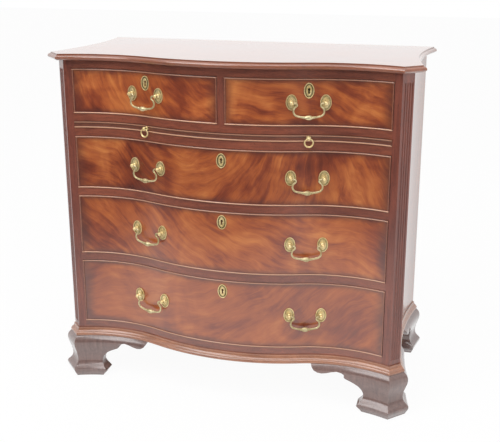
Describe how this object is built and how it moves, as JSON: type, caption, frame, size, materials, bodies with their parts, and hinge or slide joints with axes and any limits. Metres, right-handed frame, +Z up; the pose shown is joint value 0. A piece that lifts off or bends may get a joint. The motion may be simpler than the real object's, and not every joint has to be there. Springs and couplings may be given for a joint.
{
  "type": "serpentine bachelors chest",
  "caption": "Serpentine mahogany chest of cockbeaded drawers over a brushing slide, with canted fluted corners, bail handles and ogee bracket feet.",
  "frame": {"origin": "on the floor under the middle of the chest", "axes": "+X to the right along the front, +Y to the back (the serpentine front faces -Y), +Z up"},
  "size_m": [0.9406, 0.4656, 0.8765],
  "materials": {
    "mahogany": "french polished, dark red-brown",
    "mahogany_top": "french polished",
    "flame_mahogany": "french polished figured veneer",
    "cockbead": "french polished",
    "oak": "unpolished",
    "pine": "unpolished",
    "brass": "old lacquered brass",
    "steel": "dull"
  },
  "bodies": {
    "carcass": {"top_board": "mahogany_top", "side_left": "mahogany", "side_right": "mahogany", "corner_post_left": "mahogany", "corner_post_right": "mahogany", "back_boards": "pine", "drawer_rails": "mahogany", "muntin": "mahogany", "dust_boards": "oak", "guides_and_kickers": "oak", "base_moulding": "mahogany", "foot_front_left": "mahogany", "foot_front_right": "mahogany", "foot_rear_left": "mahogany", "foot_rear_right": "mahogany", "foot_blocks": "pine"},
    "drawer_short_left": {"short_left_front": "flame_mahogany", "short_left_cockbead": "cockbead", "short_left_linings": "oak", "short_left_bottom": "oak", "short_left_brasses": "brass"},
    "bolt_short_left": {"short_left_bolt": "steel"},
    "bail_short_left": {"short_left_bail": "brass"},
    "drawer_short_right": {"short_right_front": "flame_mahogany", "short_right_cockbead": "cockbead", "short_right_linings": "oak", "short_right_bottom": "oak", "short_right_brasses": "brass"},
    "bolt_short_right": {"short_right_bolt": "steel"},
    "bail_short_right": {"short_right_bail": "brass"},
    "drawer_upper": {"upper_front": "flame_mahogany", "upper_cockbead": "cockbead", "upper_linings": "oak", "upper_bottom": "oak", "upper_brasses": "brass"},
    "bolt_upper": {"upper_bolt": "steel"},
    "bail_upper_left": {"upper_left_bail": "brass"},
    "bail_upper_right": {"upper_right_bail": "brass"},
    "drawer_middle": {"middle_front": "flame_mahogany", "middle_cockbead": "cockbead", "middle_linings": "oak", "middle_bottom": "oak", "middle_brasses": "brass"},
    "bolt_middle": {"middle_bolt": "steel"},
    "bail_middle_left": {"middle_left_bail": "brass"},
    "bail_middle_right": {"middle_right_bail": "brass"},
    "drawer_lower": {"lower_front": "flame_mahogany", "lower_cockbead": "cockbead", "lower_linings": "oak", "lower_bottom": "oak", "lower_brasses": "brass"},
    "bolt_lower": {"lower_bolt": "steel"},
    "bail_lower_left": {"lower_left_bail": "brass"},
    "bail_lower_right": {"lower_right_bail": "brass"},
    "brushing_slide": {"slide_board": "mahogany", "slide_lipping": "cockbead", "slide_pulls": "brass"},
    "slide_ring_left": {"slide_ring_left": "brass"},
    "slide_ring_right": {"slide_ring_right": "brass"}
  },
  "joints": [
    {"name": "short_left_drawer_slide", "type": "slide", "parent": "carcass", "child": "drawer_short_left", "axis": [0, -1, 0], "range_m": [0, 0.29]},
    {"name": "short_left_bolt_slide", "type": "slide", "parent": "drawer_short_left", "child": "bolt_short_left", "axis": [0, 0, 1], "range_m": [0, 0.009]},
    {"name": "short_left_bail_hinge", "type": "hinge", "parent": "drawer_short_left", "child": "bail_short_left", "pos_m": [-0.20745, -0.18685, 0.782], "axis": [-0.9642, 0.2653, 0], "range_deg": [-8, 80]},
    {"name": "short_right_drawer_slide", "type": "slide", "parent": "carcass", "child": "drawer_short_right", "axis": [0, -1, 0], "range_m": [0, 0.29]},
    {"name": "short_right_bolt_slide", "type": "slide", "parent": "drawer_short_right", "child": "bolt_short_right", "axis": [0, 0, 1], "range_m": [0, 0.009]},
    {"name": "short_right_bail_hinge", "type": "hinge", "parent": "drawer_short_right", "child": "bail_short_right", "pos_m": [0.20745, -0.18685, 0.782], "axis": [-0.9642, -0.2653, 0], "range_deg": [-8, 80]},
    {"name": "upper_drawer_slide", "type": "slide", "parent": "carcass", "child": "drawer_upper", "axis": [0, -1, 0], "range_m": [0, 0.29]},
    {"name": "upper_bolt_slide", "type": "slide", "parent": "drawer_upper", "child": "bolt_upper", "axis": [0, 0, 1], "range_m": [0, 0.009]},
    {"name": "upper_left_bail_hinge", "type": "hinge", "parent": "drawer_upper", "child": "bail_upper_left", "pos_m": [-0.20745, -0.18685, 0.5995], "axis": [-0.9642, 0.2653, 0], "range_deg": [-8, 80]},
    {"name": "upper_right_bail_hinge", "type": "hinge", "parent": "drawer_upper", "child": "bail_upper_right", "pos_m": [0.20745, -0.18685, 0.5995], "axis": [-0.9642, -0.2653, 0], "range_deg": [-8, 80]},
    {"name": "middle_drawer_slide", "type": "slide", "parent": "carcass", "child": "drawer_middle", "axis": [0, -1, 0], "range_m": [0, 0.29]},
    {"name": "middle_bolt_slide", "type": "slide", "parent": "drawer_middle", "child": "bolt_middle", "axis": [0, 0, 1], "range_m": [0, 0.009]},
    {"name": "middle_left_bail_hinge", "type": "hinge", "parent": "drawer_middle", "child": "bail_middle_left", "pos_m": [-0.20745, -0.18685, 0.4315], "axis": [-0.9642, 0.2653, 0], "range_deg": [-8, 80]},
    {"name": "middle_right_bail_hinge", "type": "hinge", "parent": "drawer_middle", "child": "bail_middle_right", "pos_m": [0.20745, -0.18685, 0.4315], "axis": [-0.9642, -0.2653, 0], "range_deg": [-8, 80]},
    {"name": "lower_drawer_slide", "type": "slide", "parent": "carcass", "child": "drawer_lower", "axis": [0, -1, 0], "range_m": [0, 0.29]},
    {"name": "lower_bolt_slide", "type": "slide", "parent": "drawer_lower", "child": "bolt_lower", "axis": [0, 0, 1], "range_m": [0, 0.009]},
    {"name": "lower_left_bail_hinge", "type": "hinge", "parent": "drawer_lower", "child": "bail_lower_left", "pos_m": [-0.20745, -0.18685, 0.245], "axis": [-0.9642, 0.2653, 0], "range_deg": [-8, 80]},
    {"name": "lower_right_bail_hinge", "type": "hinge", "parent": "drawer_lower", "child": "bail_lower_right", "pos_m": [0.20745, -0.18685, 0.245], "axis": [-0.9642, -0.2653, 0], "range_deg": [-8, 80]},
    {"name": "brushing_slide_slide", "type": "slide", "parent": "carcass", "child": "brushing_slide", "axis": [0, -1, 0], "range_m": [0, 0.27]},
    {"name": "slide_ring_left_hinge", "type": "hinge", "parent": "brushing_slide", "child": "slide_ring_left", "pos_m": [-0.20751, -0.18099, 0.697], "axis": [-0.9602, 0.2794, 0], "range_deg": [-10, 80]},
    {"name": "slide_ring_right_hinge", "type": "hinge", "parent": "brushing_slide", "child": "slide_ring_right", "pos_m": [0.20751, -0.18099, 0.697], "axis": [-0.9602, -0.2794, 0], "range_deg": [-10, 80]}
  ]
}
